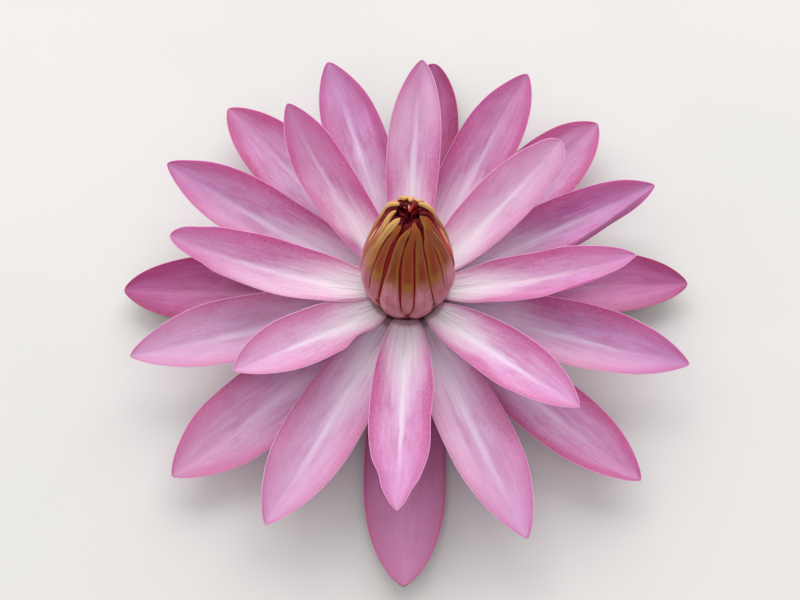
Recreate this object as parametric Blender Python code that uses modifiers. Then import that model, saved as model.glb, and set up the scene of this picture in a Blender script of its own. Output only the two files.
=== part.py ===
"""A pink tropical water lily bloom, picked with a short stub of its stalk, lying face up.

The bloom is put together as it grew. The stalk widens into a cup, the receptacle. Four
sepals and three whorls of petals leave the side of the cup, each whorl higher than the one
below, and the stamens stand on its rim and close over it in a cone with a small mouth.

Sizes are in metres. +Z is the flower's axis, and the surface that the bloom lies on is z = 0.
"""

import math
import random
from collections import namedtuple

import bmesh
import bpy
from mathutils import Vector

MM = 0.001

# Driving sizes of the whole bloom.
FIT_GAP = 0.3 * MM
BLADE_THICKNESS = 1.0 * MM
STALK_RADIUS = 5.5 * MM
RECEPTACLE_RADIUS = 11.5 * MM
RECEPTACLE_HEIGHT = 12.5 * MM
ROOT_RADIUS = RECEPTACLE_RADIUS + 1.5 * FIT_GAP

# The cone of stamens: where it starts, its belly, its shoulder and its mouth.
CONE_BASE_HEIGHT = RECEPTACLE_HEIGHT + FIT_GAP
CONE_BASE_RADIUS = 12.5 * MM
BELLY_HEIGHT = 28.5 * MM
BELLY_RADIUS = 15.5 * MM
SHOULDER_HEIGHT = 56.0 * MM
SHOULDER_RADIUS = 8.9 * MM
MOUTH_HEIGHT = 62.0 * MM
MOUTH_RADIUS = 3.0 * MM
SHOULDER_SHARE = 0.88

# Facets: cells across and along a blade and a stamen, and sides round a turned piece.
BLADE_CELLS = (6, 10)
STAMEN_CELLS = (4, 9)
TURNED_SIDES = 28

# A whorl holds what its blades share, and one row for each of its blades, in millimetres and
# degrees: the direction that the blade grows in (from +X), its tip's reach from the axis and its
# height, its width, how far its middle bows aside (clockwise), and its roll about its length.
Whorl = namedtuple("Whorl", "name root_height root_share widest pointing bluntness cup sag blades")
Blade = namedtuple("Blade", "azimuth reach tip_height width bow roll")

WHORLS = (
    Whorl(
        name="sepal",
        root_height=4.5,
        root_share=0.50,
        widest=0.56,
        pointing=1.5,
        bluntness=0.65,
        cup=0.26,
        sag=None,
        blades=(
            Blade(84, 101, 8, 25, 0, 0),
            Blade(179, 99, 8, 27, 2.5, 0),
            Blade(269, 101, 8, 27, 0, 2),
            Blade(2, 98, 8.5, 25, -3.5, 0),
        ),
    ),
    Whorl(
        name="outer_petal",
        root_height=7.0,
        root_share=0.42,
        widest=0.61,
        pointing=1.3,
        bluntness=0.75,
        cup=0.30,
        sag=1.5,
        blades=(
            Blade(131.5, 101, 13, 23.5, 0.5, 3),
            Blade(222, 101, 13, 27.5, -0.5, 1),
            Blade(316.5, 101, 14, 23.5, 0.5, 3),
            Blade(44, 99, 12.5, 25.5, 1, -2),
        ),
    ),
    Whorl(
        name="middle_petal",
        root_height=9.5,
        root_share=0.33,
        widest=0.58,
        pointing=1.2,
        bluntness=0.75,
        cup=0.34,
        sag=1.5,
        blades=(
            Blade(108, 95, 21.5, 22, 0.5, 2),
            Blade(153, 95, 25, 22.5, -1.5, 6),
            Blade(199, 95, 24.5, 23.5, 0, 2),
            Blade(243, 96, 21.5, 24, 0, 2),
            Blade(291.5, 97, 23, 23, 0, 6),
            Blade(340, 97, 22, 23.5, 0.5, -1),
            Blade(22, 94, 22.5, 20, 0, -2),
            Blade(62, 96, 21.5, 22.5, -0.5, 0),
        ),
    ),
    Whorl(
        name="inner_petal",
        root_height=11.7,
        root_share=0.34,
        widest=0.54,
        pointing=1.2,
        bluntness=0.75,
        cup=0.34,
        sag=1.2,
        blades=(
            Blade(125, 73, 37, 19, -2.5, 0),
            Blade(177, 77, 42, 21, -3, 1),
            Blade(217, 68, 36, 19.5, -0.5, 3),
            Blade(267.5, 85, 35, 20.5, 0, -1),
            Blade(315, 74, 33.5, 19.5, 0, 0),
            Blade(359, 74, 37.5, 18.5, 2, 4),
            Blade(40, 69, 36.5, 20, 1, -4),
            Blade(86, 80, 36, 19, -1, 2),
        ),
    ),
)

# Stamens stand in two rows that alternate: broad ones outside, narrow ones set in between.
Stamen = namedtuple("Stamen", "azimuth inset base_width middle_width tip_width end")
STRAP_THICKNESS = 3.0 * MM
STAMEN_PAIRS = 8
FIRST_NARROW_AZIMUTH = 270

COLOURS = {
    "sepal": (0.62, 0.16, 0.36),
    "outer_petal": (0.78, 0.30, 0.52),
    "middle_petal": (0.80, 0.36, 0.58),
    "inner_petal": (0.82, 0.42, 0.63),
    "stamens": (0.55, 0.24, 0.09),
    "receptacle": (0.36, 0.30, 0.14),
}


def clear_scene():
    for thing in list(bpy.data.objects):
        bpy.data.objects.remove(thing)


def new_collection(name):
    collection = bpy.data.collections.new(name)
    bpy.context.scene.collection.children.link(collection)
    return collection


def finish_material(name, roughness=0.55):
    """A plain finish in the piece's main colour."""
    material = bpy.data.materials.new(name)
    material.use_nodes = True
    shader = material.node_tree.nodes["Principled BSDF"]
    shader.inputs["Base Color"].default_value = (*COLOURS[name], 1)
    shader.inputs["Roughness"].default_value = roughness
    shader.inputs["Metallic"].default_value = 0
    return material


def new_object(name, mesh, collection, material):
    thing = bpy.data.objects.new(name, mesh)
    thing.data.materials.append(material)
    collection.objects.link(thing)
    return thing


def polar(radius, azimuth, height):
    return Vector((radius * math.cos(azimuth), radius * math.sin(azimuth), height))


def shaped_sheet(name, cells, place):
    """A grid whose corners go where place(across, along) says: across -1 to 1, along 0 to 1."""
    sheet = bmesh.new()
    bmesh.ops.create_grid(sheet, x_segments=cells[0], y_segments=cells[1], size=1)
    for vertex in sheet.verts:
        vertex.co = place(vertex.co.x, (vertex.co.y + 1) / 2)
    bmesh.ops.remove_doubles(sheet, verts=sheet.verts, dist=0.01 * MM)
    bmesh.ops.triangulate(sheet, faces=sheet.faces)
    mesh = bpy.data.meshes.new(name)
    sheet.to_mesh(mesh)
    sheet.free()
    mesh.shade_smooth()
    return mesh


def shaped_block(name, cells, place):
    """A grid made into a block of one layer, its corners sent where place says.

    Place takes across (-1 to 1), along (0 to 1) and depth (0 on the outer face, -1 on the back).
    """
    block = bmesh.new()
    bmesh.ops.create_grid(block, x_segments=cells[0], y_segments=cells[1], size=1)
    back = bmesh.ops.extrude_face_region(block, geom=block.faces)["geom"]
    for vertex in back:
        if isinstance(vertex, bmesh.types.BMVert):
            vertex.co.z = -1
    for vertex in block.verts:
        vertex.co = place(vertex.co.x, (vertex.co.y + 1) / 2, vertex.co.z)
    bmesh.ops.triangulate(block, faces=block.faces)
    bmesh.ops.recalc_face_normals(block, faces=block.faces)
    mesh = bpy.data.meshes.new(name)
    block.to_mesh(mesh)
    block.free()
    mesh.shade_smooth()
    return mesh


def thicken(thing, thickness):
    """Gives a sheet its thickness, on its underside."""
    solidify = thing.modifiers.new("thickness", "SOLIDIFY")
    solidify.thickness = thickness
    solidify.offset = -1
    return solidify


def resting_sag(root_height, tip_height):
    """The sag at which a blade's underside just meets z = 0.

    A blade's middle line is a parabola hung between root and tip, and this solves for its
    lowest point.
    """
    drop = (root_height + tip_height) / 2 - BLADE_THICKNESS
    rise = tip_height - root_height
    return (drop + math.sqrt(drop**2 - rise**2 / 4)) / 2


def outline(whorl, along):
    """Half a blade's width, as a share of its greatest half width."""
    if along < whorl.widest:
        opening = math.sin(math.pi / 2 * along / whorl.widest)
        return whorl.root_share + (1 - whorl.root_share) * opening
    past = (along - whorl.widest) / (1 - whorl.widest)
    return max(0.0, math.cos(math.pi / 2 * past**whorl.pointing)) ** whorl.bluntness


def blade_point(whorl, blade, across, along):
    """A point of a blade's upper face. Rows near the root are arcs that hug the receptacle."""
    along = (along + math.sin(math.pi / 2 * along)) / 2
    root_height = whorl.root_height * MM
    tip_height = blade.tip_height * MM
    half_width = blade.width * MM / 2 * outline(whorl, along)
    side = across * half_width
    arch = 4 * along * (1 - along)
    radius = ROOT_RADIUS + (blade.reach * MM - ROOT_RADIUS) * along
    azimuth = math.radians(blade.azimuth) - (side + blade.bow * MM * arch) / radius
    sag = resting_sag(root_height, tip_height) if whorl.sag is None else whorl.sag * MM
    grip = min(1.0, 0.3 + along / 0.4)
    height = root_height + (tip_height - root_height) * along - sag * arch
    height += whorl.cup * half_width * abs(across) ** 1.7 * grip
    height += side * math.sin(math.radians(blade.roll)) * grip
    return polar(radius, azimuth, height)


def build_whorls(collection):
    for whorl in WHORLS:
        material = finish_material(whorl.name)
        for i, blade in enumerate(whorl.blades):
            mesh = shaped_sheet(
                f"{whorl.name}_{i + 1}",
                BLADE_CELLS,
                lambda across, along: blade_point(whorl, blade, across, along),
            )
            thing = new_object(mesh.name, mesh, collection, material)
            thicken(thing, BLADE_THICKNESS)


def turned(name, profile, collection, material):
    """A solid turned about Z. The profile runs from the axis at the top, down the outer side."""
    mesh = bpy.data.meshes.new(name)
    points = [(radius, 0, height) for radius, height in profile]
    mesh.from_pydata(points, [(i, i + 1) for i in range(len(points) - 1)], [])
    thing = new_object(name, mesh, collection, material)
    screw = thing.modifiers.new("turn", "SCREW")
    screw.steps = TURNED_SIDES
    screw.render_steps = TURNED_SIDES
    screw.use_merge_vertices = True
    screw.merge_threshold = 0.05 * MM
    screw.use_smooth_shade = True
    return thing


def build_receptacle(collection):
    """The cut stalk and the cup it widens into, which grew as one piece."""
    profile = (
        (0, RECEPTACLE_HEIGHT),
        (RECEPTACLE_RADIUS - 0.8 * MM, RECEPTACLE_HEIGHT),
        (RECEPTACLE_RADIUS, RECEPTACLE_HEIGHT - 0.8 * MM),
        (RECEPTACLE_RADIUS, 3.2 * MM),
        (RECEPTACLE_RADIUS - 0.7 * MM, 2.3 * MM),
        (RECEPTACLE_RADIUS - 2.6 * MM, 1.7 * MM),
        (STALK_RADIUS + 0.8 * MM, 1.3 * MM),
        (STALK_RADIUS, 0.9 * MM),
        (STALK_RADIUS, 0.2 * MM),
        (STALK_RADIUS - 0.2 * MM, 0),
        (0, 0),
    )
    return turned("receptacle", profile, collection, finish_material("receptacle"))


def cone_point(share):
    """Radius and height on the cone of stamens, from its base (0) to its mouth (1)."""
    if share < SHOULDER_SHARE:
        height = CONE_BASE_HEIGHT
        height += (SHOULDER_HEIGHT - CONE_BASE_HEIGHT) * share / SHOULDER_SHARE
        if height < BELLY_HEIGHT:
            below = (BELLY_HEIGHT - height) / (BELLY_HEIGHT - CONE_BASE_HEIGHT)
            return BELLY_RADIUS - (BELLY_RADIUS - CONE_BASE_RADIUS) * below**2.2, height
        above = (height - BELLY_HEIGHT) / (SHOULDER_HEIGHT - BELLY_HEIGHT)
        return BELLY_RADIUS - (BELLY_RADIUS - SHOULDER_RADIUS) * above**1.25, height
    turn = math.pi / 2 * (share - SHOULDER_SHARE) / (1 - SHOULDER_SHARE)
    radius = SHOULDER_RADIUS - (SHOULDER_RADIUS - MOUTH_RADIUS) * (1 - math.cos(turn))
    return radius, SHOULDER_HEIGHT + (MOUTH_HEIGHT - SHOULDER_HEIGHT) * math.sin(turn)


def cone_turn(share):
    """How far the cone's face has turned from facing outwards to facing up."""
    return math.pi / 2 * max(0.0, share - SHOULDER_SHARE) / (1 - SHOULDER_SHARE)


def stamen_point(stamen, across, along, depth):
    """A point of a stamen: a strap that lies along the cone, rounded across, with its back sunk.

    Depth is 0 on its outer face and -1 on its back.
    """
    along = (along + math.sin(math.pi / 2 * along)) / 2
    share = along * stamen.end
    radius, height = cone_point(share)
    if along < 0.5:
        width = stamen.base_width + (stamen.middle_width - stamen.base_width) * along / 0.5
    else:
        width = stamen.middle_width
        width += (stamen.tip_width - stamen.middle_width) * (along - 0.5) / 0.5
    width *= math.sqrt(max(0.0, 1 - along**12)) * 0.8 + 0.2
    azimuth = math.radians(stamen.azimuth) + across * width / 2 / radius
    rounding = 0.22 * width * across**2 * (0.4 + 0.6 * along)
    sunk = stamen.inset + rounding * (1 + depth) - STRAP_THICKNESS * depth
    radius -= sunk * math.cos(cone_turn(share))
    height -= sunk * math.sin(cone_turn(share))
    return polar(radius, azimuth, height)


def stamens():
    """Narrow and broad stamens in turn. No two are quite alike in direction or length."""
    vary = random.Random(4)
    step = 360 / STAMEN_PAIRS
    for i in range(STAMEN_PAIRS):
        yield Stamen(
            azimuth=FIRST_NARROW_AZIMUTH + i * step + vary.uniform(-1.2, 1.2),
            inset=0.45 * MM,
            base_width=4.4 * MM,
            middle_width=4.9 * MM,
            tip_width=2.1 * MM,
            end=vary.uniform(0.97, 0.99),
        )
        yield Stamen(
            azimuth=FIRST_NARROW_AZIMUTH + (i + 0.5) * step + vary.uniform(-1.2, 1.2),
            inset=0.0,
            base_width=9.2 * MM,
            middle_width=5.2 * MM,
            tip_width=2.3 * MM,
            end=vary.uniform(0.94, 0.96),
        )


def build_stamens(collection):
    """All the stamens, fused with the mass of inner ones that they close round."""
    material = finish_material("stamens")
    core_inset = 1.5 * MM
    side = []
    for i in range(13):
        share = 0.97 * math.sin(math.pi / 2 * i / 12)
        turn = cone_turn(share)
        radius, height = cone_point(share)
        side.append((radius - core_inset * math.cos(turn), height - core_inset * math.sin(turn)))
    mouth = [
        (0, MOUTH_HEIGHT - 7.0 * MM),
        (0.8 * MOUTH_RADIUS, MOUTH_HEIGHT - 6.0 * MM),
        (MOUTH_RADIUS, MOUTH_HEIGHT - 2.0 * MM),
    ]
    profile = [*mouth, *reversed(side), (0, CONE_BASE_HEIGHT)]
    core = turned("stamens", profile, collection, material)

    straps = new_collection("stamen straps")
    for i, stamen in enumerate(stamens()):
        mesh = shaped_block(
            f"strap_{i + 1}",
            STAMEN_CELLS,
            lambda across, along, depth: stamen_point(stamen, across, along, depth),
        )
        new_object(mesh.name, mesh, straps, material)

    union = core.modifiers.new("fuse", "BOOLEAN")
    union.operation = "UNION"
    union.operand_type = "COLLECTION"
    union.solver = "MANIFOLD"
    union.collection = straps
    apply_modifiers(core)
    for strap in list(straps.objects):
        bpy.data.objects.remove(strap)
    bpy.data.collections.remove(straps)
    return core


def apply_modifiers(thing):
    graph = bpy.context.evaluated_depsgraph_get()
    mesh = bpy.data.meshes.new_from_object(thing.evaluated_get(graph))
    mesh.name = thing.name
    thing.modifiers.clear()
    thing.data = mesh


def main():
    clear_scene()
    bloom = new_collection("water lily bloom")
    build_receptacle(bloom)
    build_whorls(bloom)
    build_stamens(bloom)


main()
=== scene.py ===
"""The looks of a pink tropical water lily bloom, lying face up as picked.

Sizes are in millimetres until a point is handed to Blender, where MM turns them into metres. +Z is
the flower's axis, and the surface that the bloom lies on is z = 0. Directions are in degrees from
+X, counterclockwise as seen from above, so the front of the bloom is at 270.
"""

import math
import random
from collections import namedtuple

import bmesh
import bpy
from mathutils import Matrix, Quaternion, Vector, noise


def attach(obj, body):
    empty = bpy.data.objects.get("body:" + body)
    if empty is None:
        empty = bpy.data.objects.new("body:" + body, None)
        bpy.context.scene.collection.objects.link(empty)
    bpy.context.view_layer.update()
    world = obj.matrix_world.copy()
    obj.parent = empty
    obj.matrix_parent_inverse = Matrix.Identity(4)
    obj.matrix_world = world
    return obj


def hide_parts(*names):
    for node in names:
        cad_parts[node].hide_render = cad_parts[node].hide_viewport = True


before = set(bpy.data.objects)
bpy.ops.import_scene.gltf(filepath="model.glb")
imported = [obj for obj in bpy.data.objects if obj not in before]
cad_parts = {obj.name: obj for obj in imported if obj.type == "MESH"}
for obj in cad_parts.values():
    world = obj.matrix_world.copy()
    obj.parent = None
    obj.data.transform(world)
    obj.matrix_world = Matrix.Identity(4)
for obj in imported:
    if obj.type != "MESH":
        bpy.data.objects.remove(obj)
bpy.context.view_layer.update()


# The camera looks down on the bloom from its front, two thirds of the way up to overhead, from
# about 38 cm away, and leans a little to one side.
MM = 0.001
CAMERA_PLACE = Vector((-2.6, -174.0, 350.2))
CAMERA_AIM = Vector((-2.6, -3.4, 9.5))
CAMERA_LEAN = -0.14
LENS = 49.5
SENSOR_WIDTH = 36

camera = bpy.data.objects.new("camera", bpy.data.cameras.new("camera"))
bpy.context.scene.collection.objects.link(camera)
camera.data.sensor_width = SENSOR_WIDTH
camera.data.lens = LENS
camera.data.clip_start = 0.01
camera.location = CAMERA_PLACE * MM
lean = Quaternion((0, 0, 1), math.radians(CAMERA_LEAN))
camera.rotation_mode = "QUATERNION"
camera.rotation_quaternion = (CAMERA_AIM * MM - camera.location).to_track_quat("-Z", "Y") @ lean
bpy.context.scene.camera = camera
bpy.context.scene.view_settings.view_transform = "Standard"


# The studio: a pale matt table, an overcast dome of light, broad soft lamps behind the bloom on
# both sides, and a weak one high in front. Its sizes are in metres.
TABLE_REACH = 2.5
DOME_TINT = (0.98, 0.955, 0.975, 1)
DOME_STRENGTH = 0.34
LAMP_DISTANCE = 3.0
WARM_WHITE = (1.0, 0.98, 0.96)
COOL_WHITE = (0.96, 0.97, 1.0)


class Wire:
    """A number on its way through a material, so that its nodes read as arithmetic."""

    def __init__(self, finish, socket):
        self.finish = finish
        self.socket = socket

    def sum(self, operation, first, second=0.0):
        return self.finish.node("Math", {"operation": operation}, {0: first, 1: second})

    def __add__(self, other):
        return self.sum("ADD", self, other)

    __radd__ = __add__

    def __sub__(self, other):
        return self.sum("SUBTRACT", self, other)

    def __rsub__(self, other):
        return self.sum("SUBTRACT", other, self)

    def __mul__(self, other):
        return self.sum("MULTIPLY", self, other)

    __rmul__ = __mul__

    def __abs__(self):
        return self.sum("ABSOLUTE", self)


class Finish:
    """A material while it is being mixed."""

    def __init__(self, name):
        self.material = bpy.data.materials.new(name)
        self.material.use_nodes = True
        self.tree = self.material.node_tree
        self.shader = self.tree.nodes["Principled BSDF"]

    def node(self, kind, settings=None, inputs=None, output=0):
        """Adds a node, sets it up, fills its sockets, and gives back one of its outputs."""
        made = self.tree.nodes.new(f"ShaderNode{kind}")
        for name, value in (settings or {}).items():
            setattr(made, name, value)
        for name, value in (inputs or {}).items():
            self.fill(made.inputs[name], value)
        return Wire(self, made.outputs[output])

    def fill(self, socket, value):
        """Links a socket to a wire, or gives it a number or a colour."""
        if isinstance(value, Wire):
            self.tree.links.new(value.socket, socket)
        elif socket.type == "RGBA":
            socket.default_value = (*value[:3], 1)
        else:
            socket.default_value = value

    def set(self, **inputs):
        """Fills sockets of the shader itself, named with _ for a space."""
        for name, value in inputs.items():
            self.fill(self.shader.inputs[name.replace("_", " ")], value)

    def attribute(self, name):
        """A number that the mesh holds at each vertex."""
        return self.node("Attribute", {"attribute_name": name}, output=2)

    def place(self):
        """The point itself, in the object's own coordinates."""
        return self.node("TexCoord", output=3)

    def vector(self, x, y, z):
        return self.node("CombineXYZ", inputs={0: x, 1: y, 2: z})

    def noise(self, vector, scale=1.0, detail=2.0, roughness=0.5):
        inputs = {"Vector": vector, "Scale": scale, "Detail": detail, "Roughness": roughness}
        return self.node("TexNoise", inputs=inputs)

    def fade(self, value, start, end, low=0.0, high=1.0):
        """Goes smoothly from low to high while the value goes from start to end."""
        inputs = {0: value, 1: start, 2: end, 3: low, 4: high}
        return self.node("MapRange", {"interpolation_type": "SMOOTHSTEP"}, inputs)

    def mix(self, share, first, second):
        """A share of the second colour in the first, through the Mix node's colour sockets."""
        inputs = {0: share, 6: first, 7: second}
        return self.node("Mix", {"data_type": "RGBA"}, inputs, output=2)

    def bump(self, height, distance, strength):
        inputs = {"Height": height, "Distance": distance, "Strength": strength}
        return self.node("Bump", inputs=inputs)


def colour(code):
    """A colour written as red, green and blue in hexadecimal, as the linear light it stands for."""
    shares = [int(code[i : i + 2], 16) / 255 for i in (0, 2, 4)]
    return tuple(x / 12.92 if x < 0.04045 else ((x + 0.055) / 1.055) ** 2.4 for x in shares)


def table_finish():
    """A pale paint with faint clouds."""
    finish = Finish("matt table")
    clouds = finish.noise(finish.place(), scale=6, detail=3)
    tint = finish.mix(finish.fade(clouds, 0.3, 0.7), colour("d6d6d4"), colour("dad9d7"))
    finish.set(Base_Color=tint, Roughness=0.85)
    return finish.material


def finished_object(name, body, finish):
    """Turns a bmesh into an object of the scene, with one material."""
    mesh = bpy.data.meshes.new(name)
    body.to_mesh(mesh)
    body.free()
    mesh.materials.append(finish)
    made = bpy.data.objects.new(name, mesh)
    bpy.context.scene.collection.objects.link(made)
    return made


def hang_lamp(name, direction, height, width, power, tint):
    """A square soft lamp in a direction and at a height, both in degrees, aimed at the bloom."""
    lamp = bpy.data.objects.new(name, bpy.data.lights.new(name, "AREA"))
    lamp.data.size = width
    lamp.data.energy = power
    lamp.data.color = tint
    lamp.visible_camera = False
    turn = math.radians(direction)
    rise = math.radians(height)
    away = Vector((math.cos(turn) * math.cos(rise), math.sin(turn) * math.cos(rise), math.sin(rise)))
    lamp.location = away * LAMP_DISTANCE
    lamp.rotation_mode = "QUATERNION"
    lamp.rotation_quaternion = (-away).to_track_quat("-Z", "Y")
    bpy.context.scene.collection.objects.link(lamp)


table = bmesh.new()
bmesh.ops.create_grid(table, x_segments=2, y_segments=2, size=TABLE_REACH)
finished_object("table", table, table_finish())

dome = bpy.data.worlds.new("dome")
dome.use_nodes = True
dome.node_tree.nodes["Background"].inputs["Color"].default_value = DOME_TINT
dome.node_tree.nodes["Background"].inputs["Strength"].default_value = DOME_STRENGTH
bpy.context.scene.world = dome

hang_lamp("key lamp", direction=80, height=40, width=3.6, power=106, tint=WARM_WHITE)
hang_lamp("left lamp", direction=150, height=40, width=3.0, power=35, tint=WARM_WHITE)
hang_lamp("front lamp", direction=270, height=58, width=3.0, power=28, tint=COOL_WHITE)


# The four sepals, the lowest and darkest blades. Each is a thick fleshy leaf that grew from the
# rim of the receptacle, hollow along its middle, and rests on its back.
ROOT_RADIUS = 11.95
RESTING_THICKNESS = 1.0
BEND_RADIUS = 0.6
CHANNEL_DEPTH = 0.3
CHANNEL_WIDTH = 1.3
WAVE_HEIGHT = 0.9
WAVES_ALONG = 5
UNEVENNESS = 0.45
UNEVEN_WIDTH = 8
UNEVEN_LENGTH = 14
MARGIN_THINNING = 0.7
TIP_THINNING = 0.25
ROOT_THICKENING = 0.7
BLADE_CELLS = (36, 96)
BLADE_ATTRIBUTES = ("across", "along", "margin", "back", "seed", "depth", "streak_and_shade", "pale")

# A whorl is a ring of blades of one form. They are widest at a share of their length, and at the
# root they have a share of that width. Opening shapes the outline below the widest place, and
# pointing and bluntness the tip. The margins stand up by cup times the half width, and the middle
# sags below a straight line, or until it lies on the surface where sag is None.
Whorl = namedtuple(
    "Whorl",
    "name first_seed root_height root_share widest opening pointing bluntness cup sag thickness blades",
)

# A blade's direction, how far from the axis and how high its tip is, and its greatest width. Its
# middle bows clockwise by some millimetres, it is rolled by some degrees, and its colour is deeper
# than its whorl's where depth is above 0 and paler below: partly its own tone, partly painted shade
# on blades turned away from the light and painted light on blades that lie in shade.
Blade = namedtuple(
    "Blade", "azimuth reach tip_height width bow roll depth marks", defaults=(0, 0, 0, ())
)

# What sets a blade apart. Side 1 is its clockwise side, and start and end are shares of its
# length. A notch draws the margin in by a share of the half width, or out where its depth is below
# 0. A fold turns what lies beyond a line (shares of the half width, at its start and end) up or
# down by some degrees. A streak is deep pink, partly the flesh's own colour and partly painted shade
# along creases and over halves turned away from the light. A lit half is made paler: painted light.
Notch = namedtuple("Notch", "side start end depth")
Fold = namedtuple("Fold", "side start end line line_end turn")
StreakAndShade = namedtuple("StreakAndShade", "across start end width strength")
Pale = namedtuple("Pale", "side start end strength")


def resting_sag(root_height, tip_height):
    """The sag at which a blade's underside just meets z = 0."""
    drop = (root_height + tip_height) / 2 - RESTING_THICKNESS
    rise = tip_height - root_height
    return (drop + math.sqrt(drop**2 - rise**2 / 4)) / 2


def blade_outline(whorl, along):
    """Half a blade's width, as a share of its greatest half width."""
    if along < whorl.widest:
        opened = math.sin(math.pi / 2 * (along / whorl.widest) ** whorl.opening)
        return whorl.root_share + (1 - whorl.root_share) * opened
    past = (along - whorl.widest) / (1 - whorl.widest)
    return max(0.0, math.cos(math.pi / 2 * past**whorl.pointing)) ** whorl.bluntness


def swell(mark, along):
    """How strongly a mark shows: 0 at its ends, 1 in its middle."""
    if not mark.start < along < mark.end:
        return 0.0
    return math.sin(math.pi * (along - mark.start) / (mark.end - mark.start)) ** 2


def bent(excess, turn):
    """Where a strip ends that is bent up round a crease: how far out, and how far up."""
    way = math.copysign(1, turn)
    turn = abs(turn)
    arc = min(excess, BEND_RADIUS * turn)
    angle = arc / BEND_RADIUS
    rest = excess - arc
    out = BEND_RADIUS * math.sin(angle) + rest * math.cos(angle)
    return out, way * (BEND_RADIUS * (1 - math.cos(angle)) + rest * math.sin(angle))


def margin_marks(blade, kind, side_sign):
    """The notches or folds on one side of a blade."""
    return [mark for mark in blade.marks if isinstance(mark, kind) and mark.side == side_sign]


def blade_point(whorl, blade, seed, across, along):
    """A point of a blade's upper face and how far it is from the margin."""
    side_sign = 1 if across > 0 else -1
    half_width = blade.width / 2 * blade_outline(whorl, along)
    for notch in margin_marks(blade, Notch, side_sign):
        half_width *= 1 - notch.depth * swell(notch, along) * abs(across)
    reach = abs(across) * half_width
    margin = half_width - reach
    lift = 0.0
    for fold in margin_marks(blade, Fold, side_sign):
        strength = swell(fold, along)
        done = (along - fold.start) / (fold.end - fold.start)
        line = half_width * (fold.line + (fold.line_end - fold.line) * done)
        if strength > 0 and reach > line:
            out, lift = bent(reach - line, math.radians(fold.turn) * strength)
            reach = line + out

    side = reach * side_sign
    share = reach / max(half_width, 0.01)
    arch = 4 * along * (1 - along)
    radius = ROOT_RADIUS + (blade.reach - ROOT_RADIUS) * along
    azimuth = math.radians(blade.azimuth) - (side + blade.bow * arch) / radius
    root_height = whorl.root_height
    sag = resting_sag(root_height, blade.tip_height) if whorl.sag is None else whorl.sag
    height = root_height + (blade.tip_height - root_height) * along - sag * arch

    # The root holds the blade flatter than it is farther out.
    freedom = min(1.0, 0.3 + along / 0.4)
    height += whorl.cup * half_width * share**1.7 * freedom + lift
    height += side * math.sin(math.radians(blade.roll)) * freedom

    # The midrib's channel, a wavy margin, and a slightly uneven face.
    height -= CHANNEL_DEPTH * math.exp(-((side / CHANNEL_WIDTH) ** 2)) * arch**0.5
    wave = noise.noise(Vector((along * WAVES_ALONG, side_sign * 3, seed * 7.3)))
    height += WAVE_HEIGHT * wave * share**4 * min(1.0, along * 3) * (1 - along**8)
    uneven = Vector((side / UNEVEN_WIDTH, along * blade.reach / UNEVEN_LENGTH, seed * 3.1))
    height += UNEVENNESS * noise.noise(uneven) * min(1.0, along * 4)
    point = Vector((radius * math.cos(azimuth), radius * math.sin(azimuth), height))
    return point * MM, margin


def blade_thickness(whorl, across, along):
    """Thick along the middle and at the root, thin at the margin."""
    sideways = 1 - MARGIN_THINNING * abs(across) ** 3
    lengthwise = 1 - TIP_THINNING * along**2 + ROOT_THICKENING * (1 - along) ** 6
    return whorl.thickness * sideways * lengthwise * MM


def streaked_and_shaded(blade, across, along):
    """How strongly the deep pink streaks show at a point: partly the flesh's own colour, partly painted
    shade.
    """
    return sum(
        mark.strength * swell(mark, along) * math.exp(-(((across - mark.across) / mark.width) ** 2))
        for mark in blade.marks
        if isinstance(mark, StreakAndShade)
    )


def lit_half_share(blade, across, along):
    """How much paler a point is for lying on the lit half of its blade: painted light."""
    return sum(
        mark.strength * swell(mark, along) * min(max(across * mark.side / 0.5, 0.0), 1.0)
        for mark in blade.marks
        if isinstance(mark, Pale)
    )


def crowded(step):
    """Moves an even step towards -1 or 1, so that the cells are finest at the margins and tip."""
    return (step + math.sin(math.pi / 2 * step)) / 2


def grown_blade(whorl, blade, number, finish):
    """A blade as one closed body: a shaped sheet, given its thickness towards its back."""
    seed = whorl.first_seed + number
    body = bmesh.new()
    layers = {name: body.verts.layers.float.new(name) for name in BLADE_ATTRIBUTES}
    bmesh.ops.create_grid(body, x_segments=BLADE_CELLS[0], y_segments=BLADE_CELLS[1], size=1)
    for vertex in body.verts:
        across = crowded(vertex.co.x)
        along = crowded((vertex.co.y + 1) / 2)
        vertex.co, margin = blade_point(whorl, blade, seed, across, along)
        # Deep pink streaks, partly painted shade, and the paler lit half, painted light.
        streak_and_shade = streaked_and_shaded(blade, across, along)
        pale = lit_half_share(blade, across, along)
        values = (across, along, margin, 0.0, seed, blade.depth, streak_and_shade, pale)
        for name, value in zip(BLADE_ATTRIBUTES, values, strict=True):
            vertex[layers[name]] = value
    bmesh.ops.remove_doubles(body, verts=body.verts, dist=0.01 * MM)
    body.normal_update()
    facing = {tuple(vertex.co): vertex.normal.copy() for vertex in body.verts}
    grown = bmesh.ops.extrude_face_region(body, geom=body.faces)["geom"]
    for vertex in grown:
        if isinstance(vertex, bmesh.types.BMVert):
            thickness = blade_thickness(whorl, vertex[layers["across"]], vertex[layers["along"]])
            vertex.co -= facing[tuple(vertex.co)] * thickness
            vertex[layers["back"]] = 1
    bmesh.ops.recalc_face_normals(body, faces=body.faces)
    piece = finished_object(f"fine_{whorl.name}_{number}", body, finish)
    piece.data.shade_smooth()
    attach(piece, "root")
    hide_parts(f"{whorl.name}_{number}")


BladeColours = namedtuple("BladeColours", "root pale rib face flank edge tip rim back back_rib")
SHADED_NECK_CRIMSON = colour("96304e")
STREAK_AND_SHADE_PINK = colour("a4408a")
VEIN_GREY = colour("8b7886")
BLOOM_WHITE = colour("f3e4f4")


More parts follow.
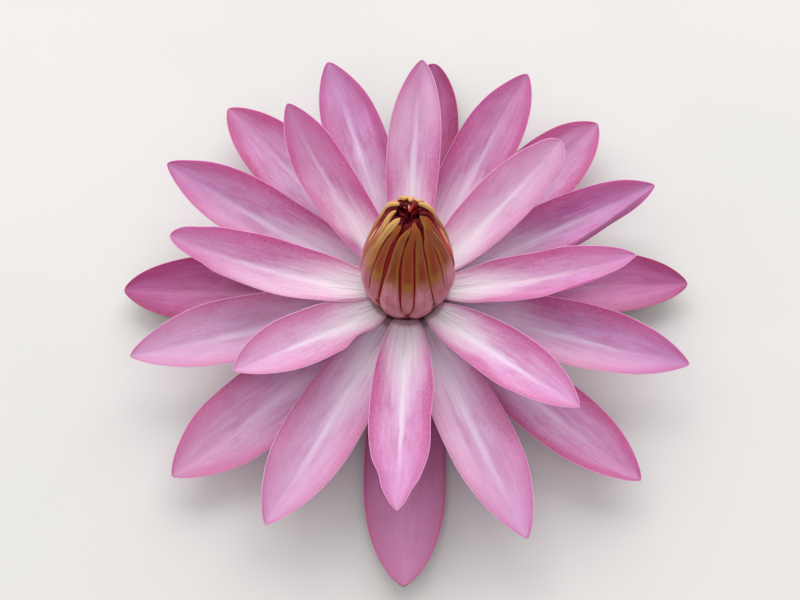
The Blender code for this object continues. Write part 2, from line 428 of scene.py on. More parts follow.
def blade_finish(name, colours, rib_end, root_end, roughness):
    """Fleshy tissue, pale along the rib and at the root, streaked lengthwise by its fine veins."""
    finish = Finish(name)
    across = finish.attribute("across")
    along = finish.attribute("along")
    margin = finish.attribute("margin")
    back = finish.attribute("back")
    seed = finish.attribute("seed")
    aside = abs(across)

    streaks = finish.noise(finish.vector(across * 8, along * 5, seed), detail=3, roughness=0.6)
    fine = finish.noise(finish.vector(across * 26, along * 12, seed + 5), detail=2)
    clouds = finish.noise(finish.vector(across * 1.7, along * 4, seed + 9), detail=2)
    grain = finish.noise(finish.vector(across * 30, along * 60, seed + 2), detail=2)
    mottle = finish.noise(finish.vector(across * 4, along * 11, seed + 15), detail=3, roughness=0.6)

    # From the middle to the margin, with cloudy deeper patches, streaks and mottles.
    flank = finish.fade(aside + (streaks - 0.5) * 0.35 + (clouds - 0.5) * 0.6, 0.1, 1.0)
    tone = finish.mix(flank, colours.face, colours.flank)
    edge = aside + (clouds - 0.5) * 0.5 + finish.fade(along, 0.7, 1.0) * 0.35
    edge = finish.fade(edge, 0.58, 1.05) * finish.fade(along, 0.15, 0.65, 0.35, 0.85)
    tone = finish.mix(edge, tone, colours.edge)
    streak = finish.fade(streaks * 0.5 + fine * 0.3 + clouds * 0.2, 0.42, 0.64)
    tone = finish.mix(streak * 0.35, tone, colours.edge)
    tone = finish.mix(finish.fade(grain, 0.35, 0.7) * 0.22, tone, colours.rib)
    tone = finish.mix(finish.fade(mottle, 0.45, 0.7) * 0.25, tone, colours.edge)

    # The rib, broad near the root and narrow towards the tip, with a paler line along its core.
    rib_width = finish.fade(along, 0.15, 0.7, 0.42, 0.16)
    rib = 1 - finish.fade(aside + (streaks - 0.5) * 0.2 + (fine - 0.5) * 0.1, 0.0, rib_width)
    rib = rib * finish.fade(along, rib_end - 0.5, rib_end, 1.0, 0.0)
    tone = finish.mix(rib * 0.75, tone, colours.rib)
    core = finish.fade(aside + (fine - 0.5) * 0.1, 0.02, 0.12, 1.0, 0.0)
    core = core * finish.fade(streaks, 0.3, 0.5)
    tone = finish.mix(core * rib * 0.3, tone, colours.pale)
    tip = finish.fade(along + (streaks - 0.5) * 0.2, 0.55, 1.0) * 0.6
    tone = finish.mix(tip, tone, colours.tip)

    # Blades differ: some are deeper and some paler all over, partly in their own tone and partly as
    # painted shade on blades turned away from the light and painted light on shaded ones. Some have
    # one half made paler: painted light, on the half that faces the light.
    depth = finish.attribute("depth")
    tone = finish.mix(finish.fade(depth, 0.0, 1.0) * 0.5, tone, colours.edge)
    tone = finish.mix(finish.fade(depth, 0.0, -1.0) * 0.6, tone, colours.pale)
    tone = finish.mix(finish.attribute("pale"), tone, colours.pale)

    # The root; its crimson neck, partly its own colour and partly painted shadow where the roots
    # crowd together at the base; and the deep pink streaks, partly painted shade.
    root = along + aside * aside * 0.3 + (streaks - 0.5) * 0.2
    root = finish.fade(root, 0.06, root_end, 1.0, 0.0)
    tone = finish.mix(root, tone, colours.root)
    neck = finish.fade(along, 0.025, 0.055, 1.0, 0.0)
    tone = finish.mix(neck * 0.6, tone, SHADED_NECK_CRIMSON)
    streak_and_shade = finish.attribute("streak_and_shade") * finish.fade(fine, 0.3, 0.6, 0.6, 1.0)
    tone = finish.mix(streak_and_shade, tone, STREAK_AND_SHADE_PINK)

    # Grey veins at the root.
    thread = finish.noise(finish.vector(across * 10, along * 1.1, seed + 3), detail=1)
    thread = 1 - finish.fade(abs(thread - 0.5), 0.0, 0.035)
    thread = thread * finish.fade(along, 0.1, 0.3, 1.0, 0.0) * finish.fade(aside, 0.5, 0.9, 1.0, 0.0)
    tone = finish.mix(thread * 0.5, tone, VEIN_GREY)

    # A deeper line along the margin, and its thin pale rim, a painted highlight on the edge.
    line = finish.fade(margin, 0.3, 1.4, 1.0, 0.0) * 0.3
    tone = finish.mix(line, tone, colours.edge)
    rim = finish.fade(margin, 0.05, 0.25, 1.0, 0.0) * 0.3
    tone = finish.mix(rim, tone, colours.rim)

    # The back, with fine streaks and the rib standing out as a line.
    rear = finish.fade(streaks * 0.4 + fine * 0.6, 0.38, 0.62)
    rear = finish.mix(rear, colours.back, colours.back_rib)
    spine = finish.fade(aside, 0.02, 0.12, 1.0, 0.0) * finish.fade(along, 0.1, 0.9, 0.7, 0.2)
    rear = finish.mix(spine, rear, colours.back_rib)
    rear = finish.mix(finish.fade(aside, 0.5, 1.0) * 0.35, rear, colours.edge)
    tone = finish.mix(back, tone, rear)

    pucker = finish.noise(finish.vector(across * 5, along * 18, seed + 12), detail=2)
    relief = streaks * 0.35 + fine * 0.3 + grain * 0.2 + pucker * 0.45
    finish.set(
        Base_Color=tone,
        Roughness=roughness + (streaks - 0.5) * 0.15,
        Normal=finish.bump(relief, 0.6 * MM, 0.6),
        Subsurface_Weight=0.8,
        Subsurface_Radius=(1.0, 0.5, 0.75),
        Subsurface_Scale=1.5 * MM,
        Sheen_Weight=0.08,
        Sheen_Roughness=0.4,
        Sheen_Tint=BLOOM_WHITE,
        Specular_IOR_Level=0.25,
    )
    return finish.material


def grown_whorl(whorl, finish):
    for number, blade in enumerate(whorl.blades, 1):
        grown_blade(whorl, blade, number, finish)


sepals = Whorl(
    name="sepal",
    first_seed=50,
    root_height=4.5,
    root_share=0.50,
    widest=0.56,
    opening=1.0,
    pointing=1.5,
    bluntness=0.65,
    cup=0.26,
    sag=None,
    thickness=1.0,
    blades=(
        Blade(84, 101, 8, 25, depth=0.45),
        Blade(179, 99, 8, 27, bow=2.5, depth=0.35, marks=(StreakAndShade(0.7, 0.6, 1.05, 0.3, 0.35),)),
        Blade(269, 101, 8, 27, roll=2, depth=-0.65),
        Blade(2, 98, 8.5, 25, bow=-3.5, marks=(Pale(1, 0.3, 1.1, 0.3),)),
    ),
)
# The deep crimson root colour, which the sepal finish carries far up each sepal, and the deep crimson
# edge are partly the sepals' own colour and partly painted shade, where they lie under the petals and the
# light reaching them is pink.
sepal_colours = BladeColours(
    root=colour("9a2a6c"),
    pale=colour("d6a4c6"),
    rib=colour("c08cb2"),
    face=colour("c27bae"),
    flank=colour("b24888"),
    edge=colour("8a0e4c"),
    tip=colour("aa5490"),
    rim=colour("cf9fb8"),
    back=colour("7c4a3f"),
    back_rib=colour("8d7a4d"),
)
grown_whorl(
    sepals,
    blade_finish("sepal flesh", sepal_colours, rib_end=0.95, root_end=0.85, roughness=0.45),
)


# The four outer petals, thinner and softer than the sepals. They leave the receptacle between and
# above them, and sag a little under their own weight.
outer_petals = Whorl(
    name="outer_petal",
    first_seed=110,
    root_height=7.0,
    root_share=0.42,
    widest=0.61,
    opening=0.95,
    pointing=1.3,
    bluntness=0.75,
    cup=0.30,
    sag=1.5,
    thickness=0.7,
    blades=(
        Blade(131.5, 101, 13, 23.5, bow=0.5, roll=3, depth=0.1),
        Blade(222, 101, 13, 27.5, bow=-0.5, roll=1, depth=-0.3),
        Blade(316.5, 101, 14, 23.5, bow=0.5, roll=3, depth=-0.05),
        Blade(44, 99, 12.5, 25.5, bow=1, roll=-2),
    ),
)
outer_colours = BladeColours(
    root=colour("ecc8de"),
    pale=colour("f2dcea"),
    rib=colour("cfb2d0"),
    face=colour("c8a2c7"),
    flank=colour("c47bac"),
    edge=colour("a8366f"),
    tip=colour("b66fa0"),
    rim=colour("eccfe3"),
    back=colour("d59bc4"),
    back_rib=colour("c67fae"),
)
grown_whorl(
    outer_petals,
    blade_finish("outer petal", outer_colours, rib_end=0.95, root_end=0.6, roughness=0.5),
)


# The eight middle petals, of the same soft tissue with a whiter root. They stand above the gaps
# between the sepals and the outer petals. The edge of the seventh is turned under.
middle_petals = Whorl(
    name="middle_petal",
    first_seed=120,
    root_height=9.5,
    root_share=0.33,
    widest=0.58,
    opening=0.85,
    pointing=1.2,
    bluntness=0.75,
    cup=0.34,
    sag=1.5,
    thickness=0.7,
    blades=(
        Blade(108, 95, 21.5, 22, bow=0.5, roll=2, depth=-0.05, marks=(StreakAndShade(0.8, 0.25, 1.0, 0.1, 0.6),)),
        Blade(153, 95, 25, 22.5, bow=-1.5, roll=6, depth=0.25, marks=(Pale(-1, 0.2, 1.0, 0.15),)),
        Blade(199, 95, 24.5, 23.5, roll=2, depth=-0.4),
        Blade(243, 96, 21.5, 24, roll=2, depth=-0.35),
        Blade(
            291.5, 97, 23, 23, roll=6, depth=-0.25,
            marks=(StreakAndShade(0.28, 0.2, 0.85, 0.08, 0.3), Pale(1, 0.1, 1.0, 0.25)),
        ),
        Blade(
            340, 97, 22, 23.5, bow=0.5, roll=-1,
            marks=(StreakAndShade(-0.55, 0.2, 0.85, 0.1, 0.25), Pale(1, 0.1, 1.0, 0.25)),
        ),
        Blade(
            22, 94, 22.5, 20, roll=-2, depth=0.1,
            marks=(Fold(1, 0.4, 1.1, 0.95, 0.15, -80), StreakAndShade(-0.5, 0.3, 1.05, 0.4, 0.8)),
        ),
        Blade(62, 96, 21.5, 22.5, bow=-0.5, depth=0.45),
    ),
)
middle_colours = BladeColours(
    root=colour("f6e6f2"),
    pale=colour("f6e6f2"),
    rib=colour("d0bdd6"),
    face=colour("c698c5"),
    flank=colour("c878ac"),
    edge=colour("aa3f7c"),
    tip=colour("b67fae"),
    rim=colour("f2d9ea"),
    back=colour("dba5cd"),
    back_rib=colour("cb86b5"),
)
grown_whorl(
    middle_petals,
    blade_finish("middle petal", middle_colours, rib_end=1.0, root_end=0.62, roughness=0.5),
)


# The eight inner petals, the shortest and steepest, whose white roots ring the stamens. Some
# have uneven margins, and the edge of the sixth is turned over.
inner_petals = Whorl(
    name="inner_petal",
    first_seed=110,
    root_height=11.7,
    root_share=0.34,
    widest=0.54,
    opening=0.72,
    pointing=1.2,
    bluntness=0.75,
    cup=0.34,
    sag=1.2,
    thickness=0.7,
    blades=(
        Blade(
            125, 73, 37, 19, bow=-2.5, depth=0.5,
            marks=(StreakAndShade(-0.75, 0.06, 0.3, 0.25, 0.8), Pale(-1, 0.1, 0.8, 0.15)),
        ),
        Blade(
            177, 77, 42, 21, bow=-3, roll=1, depth=0.3,
            marks=(
                Notch(-1, 0.42, 0.92, 0.1),
                Notch(-1, 0.78, 0.92, 0.12),
                Notch(-1, 0.9, 1.2, -0.8),
                Notch(1, 0.85, 1.2, -0.4),
                Pale(-1, 0.1, 0.9, 0.4),
            ),
        ),
        Blade(217, 68, 36, 19.5, bow=-0.5, roll=3, depth=-0.3, marks=(Notch(-1, 0.1, 0.42, 0.22),)),
        Blade(
            267.5, 85, 35, 20.5, roll=-1,
            marks=(
                Notch(-1, 0.4, 0.76, 0.1),
                Notch(1, 0.78, 0.92, 0.12),
                Notch(-1, 0.86, 0.98, 0.13),
            ),
        ),
        Blade(315, 74, 33.5, 19.5, depth=-0.1),
        Blade(359, 74, 37.5, 18.5, bow=2, roll=4, depth=0.35, marks=(Fold(1, 0.5, 0.98, 0.8, 0.7, 110),)),
        Blade(
            40, 69, 36.5, 20, bow=1, roll=-4, depth=-0.4,
            marks=(Notch(1, 0.8, 1.25, -0.9), Notch(-1, 0.85, 1.2, -0.3)),
        ),
        Blade(
            86, 80, 36, 19, bow=-1, roll=2, depth=-0.15,
            marks=(Pale(-1, 0.3, 1.0, 0.3), Pale(1, 0.5, 1.1, 0.3)),
        ),
    ),
)
inner_colours = BladeColours(
    root=colour("f3e8f0"),
    pale=colour("f3e8f0"),
    rib=colour("dfcce0"),
    face=colour("ce9fca"),
    flank=colour("ca78ae"),
    edge=colour("b24c88"),
    tip=colour("c88fbc"),
    rim=colour("f5dfee"),
    back=colour("dfabd2"),
    back_rib=colour("cf8cba"),
)
grown_whorl(
    inner_petals,
    blade_finish("inner petal", inner_colours, rib_end=1.0, root_end=0.6, roughness=0.5),
)


# The outer stamens: flat waxy straps in two alternating rows, broad and narrow, that stand on the
# receptacle's rim and close in a cone with a small mouth.
CONE_BASE_HEIGHT = 12.8
CONE_BASE_RADIUS = 12.5
BELLY_HEIGHT = 28.5
BELLY_RADIUS = 15.5
SHOULDER_HEIGHT = 56.0
SHOULDER_RADIUS = 8.9
SHOULDER_SHARE = 0.88
MOUTH_HEIGHT = 62.0
MOUTH_RADIUS = 3.0
LIP_REACH = 50
BULGE = 0.6
CROWN = 0.13
STRAP_UNEVENNESS = 0.25
EDGE_ROUNDING = 0.6
STRAP_THICKNESS = 1.5
STRAP_THINNING = 0.8
LEAST_RADIUS = 2.5
CONE_RUN = 55
TIP_LENGTH = 1.5
TIP_BLUNTNESS = 0.06
FOOT_LENGTH = 0.55
FOOT_BLUNTNESS = 0.08
STRAP_CELLS = (14, 60)
STRAP_ATTRIBUTES = ("across", "share", "back", "seed", "narrow")


def cone_point(share):
    """Radius and height on the cone of stamens, from its base (0) to its mouth (1) and into it."""
    if share < SHOULDER_SHARE:
        height = CONE_BASE_HEIGHT
        height += (SHOULDER_HEIGHT - CONE_BASE_HEIGHT) * share / SHOULDER_SHARE
        if height < BELLY_HEIGHT:
            below = (BELLY_HEIGHT - height) / (BELLY_HEIGHT - CONE_BASE_HEIGHT)
            return BELLY_RADIUS - (BELLY_RADIUS - CONE_BASE_RADIUS) * below**2.2, height
        above = (height - BELLY_HEIGHT) / (SHOULDER_HEIGHT - BELLY_HEIGHT)
        return BELLY_RADIUS - (BELLY_RADIUS - SHOULDER_RADIUS) * above**1.25, height
    turn = cone_turn(share)
    radius = SHOULDER_RADIUS - (SHOULDER_RADIUS - MOUTH_RADIUS) * (1 - math.cos(turn))
    radius -= LIP_REACH * max(0.0, share - 1)
    return radius, SHOULDER_HEIGHT + (MOUTH_HEIGHT - SHOULDER_HEIGHT) * math.sin(turn)


def cone_turn(share):
    """How far the cone's face has turned from facing outwards to facing up."""
    return math.pi / 2 * min(1.0, max(0.0, share - SHOULDER_SHARE) / (1 - SHOULDER_SHARE))


# A strap has the directions of its two edges at the stations, which are shares of the way up the
# cone. It starts and ends at such shares too, and is sunk by some millimetres between its
# neighbours.
STATIONS = (0.08, 0.2, 0.3, 0.5, 0.7, 0.85, 0.93, 1.0)
Strap = namedtuple("Strap", "left right start end sink")


def through(values, share):
    """A smooth curve through the values at the stations."""
    share = min(max(share, STATIONS[0]), STATIONS[-1])
    last = len(STATIONS) - 1
    i = max(k for k in range(last) if STATIONS[k] <= share)

    def slope(k):
        low = max(k - 1, 0)
        high = min(k + 1, last)
        return (values[high] - values[low]) / (STATIONS[high] - STATIONS[low])

    span = STATIONS[i + 1] - STATIONS[i]
    t = (share - STATIONS[i]) / span
    return (
        (2 * t**3 - 3 * t**2 + 1) * values[i]
        + (t**3 - 2 * t**2 + t) * span * slope(i)
        + (3 * t**2 - 2 * t**3) * values[i + 1]
        + (t**3 - t**2) * span * slope(i + 1)
    )


def rounded_end(distance, bluntness):
    """A strap's share of its full width near a rounded end. Distance is 1 where it is full."""
    if distance >= 1:
        return 1.0
    return math.sqrt(1 - (1 - distance) ** 2) * (1 - bluntness) + bluntness


def strap_point(strap, seed, across, along, depth):
    """A point of a stamen. Depth is 0 on its outer face and -1 on its back."""
    share = strap.start + (strap.end - strap.start) * along
    radius, height = cone_point(share)
    radius += BULGE * math.sin(math.pi * min(share, 1.0)) ** 0.6
    left = math.radians(through(strap.left, share))
    right = math.radians(through(strap.right, share))
    width = (right - left) * max(radius, LEAST_RADIUS)
    length = (strap.end - strap.start) * CONE_RUN
    width *= rounded_end((1 - along) * length / (width * TIP_LENGTH), TIP_BLUNTNESS)
    if strap.start > 0:
        width *= rounded_end(along * length / (width * FOOT_LENGTH), FOOT_BLUNTNESS)
    spread = math.sin(math.pi / 2 * across)
    azimuth = (left + right) / 2 + spread * width / 2 / max(radius, LEAST_RADIUS)

    # It is crowned across and a little uneven, and its edges are rounded.
    hollow = CROWN * width * spread**2 * (0.5 + 0.5 * share)
    hollow -= STRAP_UNEVENNESS * noise.noise(Vector((spread * 1.3, share * 5, seed * 4.7)))
    rounding = EDGE_ROUNDING * (1 - math.sqrt(max(0.0, 1 - abs(spread) ** 5)))
    thickness = STRAP_THICKNESS - STRAP_THINNING * min(share, 1.0) ** 3
    sunk = strap.sink + hollow + (rounding if depth == 0 else thickness)
    radius -= sunk * math.cos(cone_turn(share))
    height -= sunk * math.sin(cone_turn(share))
    return Vector((radius * math.cos(azimuth), radius * math.sin(azimuth), height)) * MM


def add_strap(body, layers, strap, seed):
    """Adds one strap to a body: a grid made into a block, and shaped."""
    made = bmesh.ops.create_grid(body, x_segments=STRAP_CELLS[0], y_segments=STRAP_CELLS[1], size=1)
    corners = set(made["verts"])
    faces = [face for face in body.faces if corners.issuperset(face.verts)]
    grown = bmesh.ops.extrude_face_region(body, geom=faces)["geom"]
    backs = [vertex for vertex in grown if isinstance(vertex, bmesh.types.BMVert)]
    for vertex in backs:
        vertex.co.z = -1
    narrow = 1.0 if strap.start > 0 else 0.0
    for vertex in [*made["verts"], *backs]:
        across, step, depth = vertex.co.x, (vertex.co.y + 1) / 2, vertex.co.z
        along = crowded(step)
        share = strap.start + (strap.end - strap.start) * along
        vertex.co = strap_point(strap, seed, across, along, depth)
        values = (across, share, -depth, seed, narrow)
        for name, value in zip(STRAP_ATTRIBUTES, values, strict=True):
            vertex[layers[name]] = value


def straps_piece(name, straps, finish):
    """One piece of many straps, numbered by their seeds."""
    body = bmesh.new()
    layers = {name: body.verts.layers.float.new(name) for name in STRAP_ATTRIBUTES}
    for seed, strap in enumerate(straps, 1):
        add_strap(body, layers, strap, seed)
    bmesh.ops.recalc_face_normals(body, faces=body.faces)
    piece = finished_object(name, body, finish)
    piece.data.shade_smooth()
    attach(piece, "root")
    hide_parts("stamens")


# How a strap on the back of the cone spreads to each side of its middle at the stations, and the
# share of its lean that it has there.
BROAD = (22, 16, 13.5, 12, 11, 10.5, 12, 17)
NARROW = (8, 8, 8, 9, 10, 10, 11, 16)
LEANING = (0, 0, 0, 0, 0.15, 0.4, 0.7, 1)


def back_strap(azimuth, spreads, start, end, sink, lean=0):
    """A strap on the back of the cone, evenly grown, that leans by some degrees at its tip."""
    middles = [azimuth + lean * share for share in LEANING]
    left = [middle - spread for middle, spread in zip(middles, spreads, strict=True)]
    right = [middle + spread for middle, spread in zip(middles, spreads, strict=True)]
    return Strap(left, right, start, end, sink)


# The straps go round counterclockwise from the front, a narrow one before each broad one. The
# sixth to the fourteenth stand on the sides and the back of the cone.
FIRST_REAR_STRAP = 6
LAST_REAR_STRAP = 14
outer_straps = [
    Strap(
        (263, 262.6, 261.7, 260.2, 259.6, 261.5, 271.5, 279),
        (274.4, 274.8, 276.3, 278, 279.4, 282, 290.5, 319),
        start=0.195,
        end=0.993,
        sink=0.3,
    ),
    Strap(
        (271, 276.1, 277.9, 279.8, 281.6, 284.3, 287, 282),
        (310, 304.5, 303, 300.3, 299.8, 299.5, 301.5, 318),
        start=0,
        end=0.97,
        sink=0,
    ),
    Strap(
        (306, 306, 304.8, 301.8, 303, 303.5, 308, 303),
        (319, 320, 321, 324.2, 325, 326, 329, 349),
        start=0.22,
        end=0.95,
        sink=0.2,
    ),
    Strap(
        (311, 320.6, 322.6, 325.8, 326.5, 321, 315, 325),
        (357, 357, 357, 355, 348.5, 342, 336, 368),
        start=0,
        end=0.993,
        sink=0,
    ),
    Strap(
        (345, 345, 345, 346, 342, 337, 333, 340),
        (357, 357, 357, 356, 353, 354, 352, 385),
        start=0.2,
        end=0.97,
        sink=0.6,
    ),
    Strap(
        (-8, 1, 6, 13, 20, 16, 17, 36),
        (42.5, 38, 37, 34, 34, 33, 40, 80),
        start=0,
        end=0.98,
        sink=0,
    ),
    back_strap(44, NARROW, start=0.19, end=0.93, sink=0.8),
    back_strap(67, BROAD, start=0, end=0.965, sink=0.3, lean=-11),
    back_strap(90, NARROW, start=0.19, end=0.975, sink=0.4, lean=-10),
    back_strap(112, BROAD, start=0, end=0.968, sink=0, lean=-15),
    back_strap(135, NARROW, start=0.19, end=0.94, sink=0.8, lean=-12),
    back_strap(156, BROAD, start=0, end=0.985, sink=0, lean=-27),
    Strap(
        (172, 172, 173, 177, 181, 184, 184, 136),
        (186, 186, 186, 187, 195, 203, 206, 180),
        start=0.25,
        end=0.99,
        sink=0.25,
    ),
    Strap(
        (186, 186, 186, 184, 193, 201, 206, 193),
        (226, 216, 212.5, 209.4, 211.6, 216, 225, 237),
        start=0,
        end=1.0,
        sink=0,
    ),
    Strap(
        (214, 214, 214.5, 211, 213, 217.5, 226, 220),
        (226, 228, 229, 230, 229, 233, 241, 258),
        start=0.24,
        end=0.98,
        sink=0.4,
    ),
    Strap(
        (227, 230.5, 232, 234.7, 238.4, 242, 249, 268),
        (269, 261.4, 259.8, 257.3, 255.4, 260, 268, 312),
        start=0,
        end=0.976,
        sink=0,
    ),
]

MARGIN_ORANGE = colour("ae7434")
MIDDLE_BROWN = colour("8e3c0a")
NARROW_RUST = colour("9c3a0c")
LIT_REAR_TAN = colour("d8a058")
LIT_TIP_TAN = colour("deb070")
OLIVE = colour("8e6a28")
PATCH_YELLOW = colour("a67c2c")
DUSTY_PINK = colour("d0949a")
DEEP_PINK = colour("c2767f")
NARROW_PINK = colour("b5706a")
VEIN_PINK = colour("a85a68")
SHADED_FOOT_CRIMSON = colour("8c2038")
EDGE_CRIMSON = colour("a0161c")
BACK_CRIMSON = colour("96141a")


def stamen_finish():
    """Waxy tissue: dusty pink below, a yellow patch, then orange brown with paler margins."""
    finish = Finish("stamen")
    across = finish.attribute("across")
    share = finish.attribute("share")
    seed = finish.attribute("seed")
    back = finish.attribute("back")
    narrow = finish.attribute("narrow")
    aside = abs(across)
    streaks = finish.noise(finish.vector(across * 5, share * 4, seed * 3), detail=3, roughness=0.6)
    cloud = finish.noise(finish.vector(across * 1.2, share * 7, seed * 5), detail=2)
    veins = finish.noise(finish.vector(across * 13, share * 2, seed * 7), detail=1)

    # The upper part, with painted light on the straps at the sides and the back, which face the
    # lamps: paler tan there, and paler still at their tips, whose tan is partly their own.
    middle_seed = (FIRST_REAR_STRAP + LAST_REAR_STRAP) / 2
    seeds_away = LAST_REAR_STRAP - middle_seed
    rear = finish.fade(abs(seed - middle_seed), seeds_away + 0.2, seeds_away + 0.5, 1.0, 0.0)
    centre = finish.fade(aside + (streaks - 0.5) * 0.7, 0.15, 0.85, 1.0, 0.0)
    upper = finish.mix(centre, MARGIN_ORANGE, MIDDLE_BROWN)
    upper = finish.mix(rear * 0.55, upper, LIT_REAR_TAN)
    upper = finish.mix(narrow * centre * 0.45, upper, NARROW_RUST)
    olive = finish.fade(cloud, 0.4, 0.65) * (1 - narrow * 0.7)
    upper = finish.mix(olive * 0.45, upper, OLIVE)
    tip = finish.fade(share, 0.72, 0.92) * finish.fade(streaks, 0.25, 0.55) * (0.1 + rear * 0.9)
    upper = finish.mix(tip * 0.8, upper, LIT_TIP_TAN)

    # The lower part, veined, and crimson at its foot: partly its own colour, partly painted shade
    # under the cone's belly.
    lower = finish.mix(finish.fade(cloud, 0.35, 0.65), DUSTY_PINK, DEEP_PINK)
    lower = finish.mix(narrow * 0.5, lower, NARROW_PINK)
    lower = finish.mix(finish.fade(veins, 0.5, 0.62) * 0.4, lower, VEIN_PINK)
    foot = finish.fade(share, 0.04, 0.14, 1.0, 0.0)
    lower = finish.mix(foot * 0.9, lower, SHADED_FOOT_CRIMSON)

    # The change between them with its yellow patch, then the thin edges and the back.
    change = share + (streaks - 0.5) * 0.12 + aside * 0.05 + (cloud - 0.5) * 0.08
    tone = finish.mix(finish.fade(change + narrow * 0.06, 0.46, 0.62), lower, upper)
    patch = finish.fade(abs(share + (cloud - 0.5) * 0.16 - 0.52), 0.0, 0.09, 1.0, 0.0)
    patch = patch * (0.2 + narrow * 0.45) * finish.fade(aside, 0.5, 1.0, 1.0, 0.4)
    tone = finish.mix(patch, tone, PATCH_YELLOW)
    edge = finish.fade(aside, 0.9, 0.99)
    tone = finish.mix(edge * 0.8, tone, EDGE_CRIMSON)
    tone = finish.mix(finish.fade(back, 0.0, 0.3), tone, BACK_CRIMSON)
    finish.set(
        Base_Color=tone,
        Roughness=0.38 + (streaks - 0.5) * 0.2,
        Normal=finish.bump(streaks * 0.6 + veins * 0.4, 0.35 * MM, 0.5),
        Subsurface_Weight=0.2,
        Subsurface_Radius=(1.0, 0.4, 0.25),
        Subsurface_Scale=1.5 * MM,
        Specular_IOR_Level=0.15,
        Coat_Weight=0.04,
        Coat_Roughness=0.2,
    )
    return finish.material


straps_piece("outer_stamens", outer_straps, stamen_finish())


# The inner stamens, of the same waxy tissue but crimson and wet. Sixteen stand in a closed ring
# and show through the gaps between the outer ones. Two more, orange red, show on the left and right.
RING_COUNT = 16
RING = (11, 10, 10, 9, 9, 9.5, 11, 16)
CRIMSON = colour("800c14")
BRIGHT_CRIMSON = colour("961618")
SHADED_DARK_CRIMSON = colour("5a0a14")
ORANGE_RED = colour("c44c14")
STRAP_HIGHLIGHT = colour("f6d0c4")


def inner_stamen_finish():
    """Dark crimson, darker towards the mouth as painted shade, with orange red and one thin painted
    highlight on the two that don't start at the base.
    """
    finish = Finish("inner stamen")
    share = finish.attribute("share")
    seed = finish.attribute("seed")
    across = finish.attribute("across")
    narrow = finish.attribute("narrow")
    streaks = finish.noise(finish.vector(across * 4, share * 3, seed * 3), detail=3)
    tone = finish.mix(finish.fade(streaks, 0.35, 0.65), CRIMSON, BRIGHT_CRIMSON)
    # Darker towards the mouth: painted shade of its hollow.
    tone = finish.mix(finish.fade(share, 0.9, 0.96), tone, SHADED_DARK_CRIMSON)
    warm = finish.fade(share + (streaks - 0.5) * 0.3, 0.9, 0.7) * narrow
    warm = warm * finish.fade(share + (streaks - 0.5) * 0.3, 0.4, 0.55)
    tone = finish.mix(warm, tone, ORANGE_RED)
    # A thin pale streak on the two orange red ones: a painted highlight.
    highlight = finish.fade(abs(across - 0.15 + (streaks - 0.5) * 0.1), 0.05, 0.18, 1.0, 0.0)
    highlight = highlight * finish.fade(abs(share - 0.69), 0.05, 0.13, 1.0, 0.0) * narrow
    tone = finish.mix(highlight * 0.9, tone, STRAP_HIGHLIGHT)
    finish.set(Base_Color=tone, Roughness=0.4, IOR=1.25, Specular_IOR_Level=0.3)
    finish.set(Normal=finish.bump(streaks, 0.4 * MM, 0.4))
    return finish.material


inner_straps = [
    Strap(
        (350, 350, 350, 350, 348, 350, 350, 350),
        (372, 372, 372, 374, 374, 371, 373, 385),
        start=0.25,
        end=0.96,
        sink=0.5,
    ),
    Strap(
        (163, 163, 163, 163, 163, 166, 168, 160),
        (181, 181, 181, 181, 183, 186, 188, 190),
        start=0.25,
        end=0.965,
        sink=0.7,
    ),
]
draw = random.Random(11)
for i in range(RING_COUNT):
    azimuth = 11 + i * 360 / RING_COUNT + draw.uniform(-2, 2)
    spreads = [spread * draw.uniform(1.2, 1.4) for spread in RING]
    inner_straps.append(back_strap(azimuth, spreads, 0.0, draw.uniform(0.985, 1.0), 1.2))
straps_piece("inner_stamens", inner_straps, inner_stamen_finish())


# The innermost stamens, which line the mouth. Dark ones, whose darkness is partly painted shade
# of the hollow, lean about in it over a closed floor of others, and three orange red ones, wet and
# shiny with a painted highlight, lean in from its back.
DARK_COUNT = 9
FLOOR_COUNT = 8
WET = (10, 10, 10, 11, 12, 12, 14, 20)
MOUTH_RED = colour("8c0c0c")
MOUTH_ORANGE = colour("b8300a")
MOUTH_SHADE_DARK = colour("780a1e")
MOUTH_HIGHLIGHT = colour("f4c4b4")


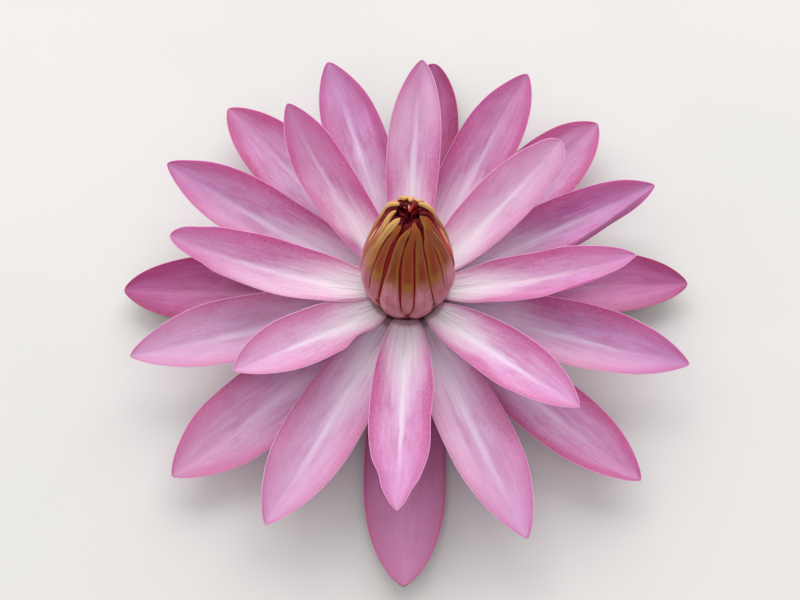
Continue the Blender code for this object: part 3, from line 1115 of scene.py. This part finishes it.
def mouth_finish():
    """Dark crimson, partly painted shade, or orange red with a thin painted highlight on the three
    that start halfway up.
    """
    finish = Finish("mouth stamen")
    share = finish.attribute("share")
    seed = finish.attribute("seed")
    across = finish.attribute("across")
    narrow = finish.attribute("narrow")
    streaks = finish.noise(finish.vector(across * 3, share * 9, seed * 3), detail=3)
    tone = finish.mix(finish.fade(streaks, 0.4, 0.6), MOUTH_RED, MOUTH_ORANGE)
    # A thin pale streak near the top: a painted highlight.
    highlight = finish.fade(abs(across - 0.45), 0.06, 0.2, 1.0, 0.0)
    highlight = highlight * finish.fade(abs(share - 0.985), 0.02, 0.035, 1.0, 0.0)
    tone = finish.mix(highlight * 0.8, tone, MOUTH_HIGHLIGHT)
    # The ones that don't start halfway up stay dark crimson, partly painted shade of the hollow.
    tone = finish.mix(narrow, MOUTH_SHADE_DARK, tone)
    finish.set(Base_Color=tone, Roughness=0.7 - narrow * 0.3, IOR=1.3, Coat_Weight=narrow * 0.1)
    finish.set(Coat_Roughness=0.06, Normal=finish.bump(streaks, 0.3 * MM, 0.4))
    return finish.material


mouth_straps = []
for i in range(DARK_COUNT):
    azimuth = 20 + i * 360 / DARK_COUNT + draw.uniform(-14, 14)
    end = draw.uniform(1.0, 1.055)
    mouth_straps.append(back_strap(azimuth, NARROW, 0.0, end, draw.uniform(2.2, 3.8), lean=30))
for i in range(FLOOR_COUNT):
    azimuth = 10 + i * 360 / FLOOR_COUNT
    mouth_straps.append(back_strap(azimuth, BROAD, start=0.0, end=1.057, sink=4.6))
for azimuth, end, sink in ((44, 0.99, 1.9), (72, 1.035, 1.4), (100, 1.0, 1.8)):
    mouth_straps.append(back_strap(azimuth, WET, 0.5, end, sink, lean=4))
straps_piece("mouth_stamens", mouth_straps, mouth_finish())


# The receptacle, the green-brown cup at the end of the stalk that everything grew from. Its own
# solid stays, with a rough rind that turns crimson where the petals leave it.
PETALS_START = 8
PETALS_END = 11
RIND_GREEN = colour("6f6238")
RIND_BROWN = colour("8d7f4c")
RIND_CRIMSON = colour("7a2c44")


def receptacle_finish():
    finish = Finish("receptacle rind")
    rind = finish.noise(finish.place(), scale=300, detail=4, roughness=0.6)
    tone = finish.mix(finish.fade(rind, 0.35, 0.65), RIND_GREEN, RIND_BROWN)
    height = finish.node("SeparateXYZ", inputs={0: finish.place()}, output=2)
    crimson = finish.fade(height, PETALS_START * MM, PETALS_END * MM)
    tone = finish.mix(crimson, tone, RIND_CRIMSON)
    finish.set(Base_Color=tone, Roughness=0.6, Normal=finish.bump(rind, 0.4 * MM, 0.5))
    return finish.material


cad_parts["receptacle"].data.materials.clear()
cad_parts["receptacle"].data.materials.append(receptacle_finish())
